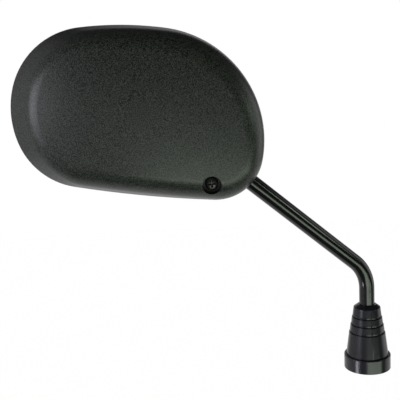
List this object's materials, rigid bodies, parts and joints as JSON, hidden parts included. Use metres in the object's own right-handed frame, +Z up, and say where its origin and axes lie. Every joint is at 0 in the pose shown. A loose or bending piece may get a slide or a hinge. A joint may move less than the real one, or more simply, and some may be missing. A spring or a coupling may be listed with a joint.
{
  "type": "motorcycle mirror",
  "caption": "Motorcycle rear-view mirror: plastic housing with convex glass, clamped on a ball at the end of a bent threaded stem, with a lock nut and a sliding boot.",
  "frame": {"origin": "centre of the stem's thread where its full diameter starts, at the lower end", "axes": "+Z up the thread's axis, -Y out of the back of the housing, +Y the way the glass faces, +X from the head towards the thread as seen from behind"},
  "size_m": [0.2315, 0.0669, 0.2309],
  "materials": {
    "housing_plastic": "black, sand-textured moulding",
    "bezel_plastic": "black, finer texture than the housing",
    "mirror_glass": "silvered glass, slightly convex",
    "pad_foam": "grey-black foam strip",
    "stem_paint": "gloss black paint on steel rod",
    "ball_steel": "turned steel",
    "cup_nylon": "natural nylon",
    "plate_steel": "zinc-plated pressing",
    "screw_black": "black oxide",
    "fastener_steel": "zinc-plated",
    "nut_zinc": "zinc-plated",
    "boot_plastic": "gloss black soft moulding with a mould seam"
  },
  "bodies": {
    "stem": {"stem": "stem_paint"},
    "ball": {"pivot_ball": "ball_steel"},
    "cups": {"rear_ball_cup": "cup_nylon", "front_ball_cup": "cup_nylon"},
    "head": {"back_housing": "housing_plastic", "glass_bezel": "bezel_plastic", "mirror_glass": "mirror_glass", "glass_pad": "pad_foam", "clamp_plate": "plate_steel", "clamp_screw": "screw_black", "spring_washer": "fastener_steel", "clamp_nut": "fastener_steel"},
    "boot": {"boot": "boot_plastic"},
    "lock_nut": {"lock_nut": "nut_zinc"}
  },
  "joints": [
    {"name": "head_swivel", "type": "hinge", "parent": "stem", "child": "ball", "pos_m": [-0.08583, -0.02706, 0.14152], "axis": [-0.7274, -0.2293, 0.6468], "continuous": true},
    {"name": "head_tilt", "type": "hinge", "parent": "ball", "child": "cups", "pos_m": [-0.08583, -0.02706, 0.14152], "axis": [0.6645, 0, 0.7473], "range_deg": [-10, 10]},
    {"name": "head_roll", "type": "hinge", "parent": "cups", "child": "head", "pos_m": [-0.08583, -0.02706, 0.14152], "axis": [0, -1, 0], "range_deg": [-10, 10]},
    {"name": "boot_slide", "type": "slide", "parent": "stem", "child": "boot", "axis": [0, 0, 1], "range_m": [0, 0.01]},
    {"name": "lock_nut_travel", "type": "slide", "parent": "stem", "child": "lock_nut", "axis": [0, 0, 1], "range_m": [-0.012, 0.001]}
  ]
}
